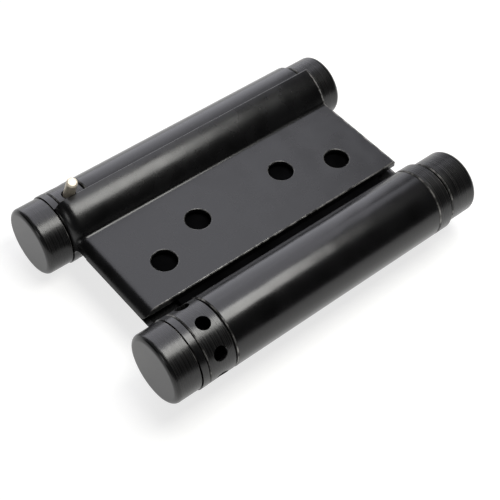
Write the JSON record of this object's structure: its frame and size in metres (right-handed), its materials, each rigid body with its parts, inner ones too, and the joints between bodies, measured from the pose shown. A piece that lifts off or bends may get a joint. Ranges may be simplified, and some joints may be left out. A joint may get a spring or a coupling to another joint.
{
  "type": "double action spring hinge",
  "caption": "Double-action spring hinge for a swinging cafe door: pressed leaves folded over a web whose rolled edges are spring barrels with holed adjusting rings, a stop pin and end caps",
  "frame": {"origin": "on the jamb leaf's outer face, at mid-length and midway between the two barrels", "axes": "X along the barrels with the adjusting rings at -X, +Y towards the door barrel, +Z the outward normal of the door leaf"},
  "size_m": [0.0887, 0.0638, 0.0229],
  "materials": {
    "black_sheet": "satin black coating",
    "black_turned": "satin black coating over turned steel",
    "plain_steel": "plain bright steel",
    "spring_steel": "oiled spring wire",
    "nickel_pin": "nickel plated"
  },
  "bodies": {
    "jamb_side": {"jamb_leaf": "black_sheet", "jamb_near_cap": "black_turned", "jamb_far_cap": "black_turned", "jamb_spindle": "plain_steel", "jamb_friction_washer": "plain_steel", "jamb_thrust_washer": "plain_steel"},
    "web": {"centre_web": "black_sheet", "jamb_anchor_collar": "black_turned", "door_anchor_plug": "plain_steel", "jamb_torsion_spring": "spring_steel", "door_torsion_spring": "spring_steel"},
    "door_side": {"door_leaf": "black_sheet", "door_near_cap": "black_turned", "door_far_cap": "black_turned", "door_spindle": "plain_steel", "door_friction_washer": "plain_steel", "door_thrust_washer": "plain_steel"},
    "door_ring": {"door_adjusting_ring": "black_turned", "door_stop_pin": "nickel_pin"},
    "jamb_ring": {"jamb_adjusting_ring": "black_turned"}
  },
  "joints": [
    {"name": "jamb_swing", "type": "hinge", "parent": "jamb_side", "child": "web", "pos_m": [0, -0.0234, 0.00428], "axis": [1, 0, 0], "range_deg": [0, 180], "stiffness_Nm_per_rad": 0.4, "springref_deg": -57.3, "deforming": ["jamb_torsion_spring"]},
    {"name": "door_swing", "type": "hinge", "parent": "web", "child": "door_side", "pos_m": [0, 0.0234, 0.00062], "axis": [-1, 0, 0], "range_deg": [0, 180], "stiffness_Nm_per_rad": 0.4, "springref_deg": -57.3, "deforming": ["door_torsion_spring"]},
    {"name": "door_wind", "type": "hinge", "parent": "door_side", "child": "door_ring", "pos_m": [0, 0.0234, 0.00062], "axis": [-1, 0, 0], "range_deg": [0, 45]},
    {"name": "jamb_wind", "type": "hinge", "parent": "jamb_side", "child": "jamb_ring", "pos_m": [0, -0.0234, 0.00428], "axis": [-1, 0, 0], "range_deg": [0, 180]}
  ]
}
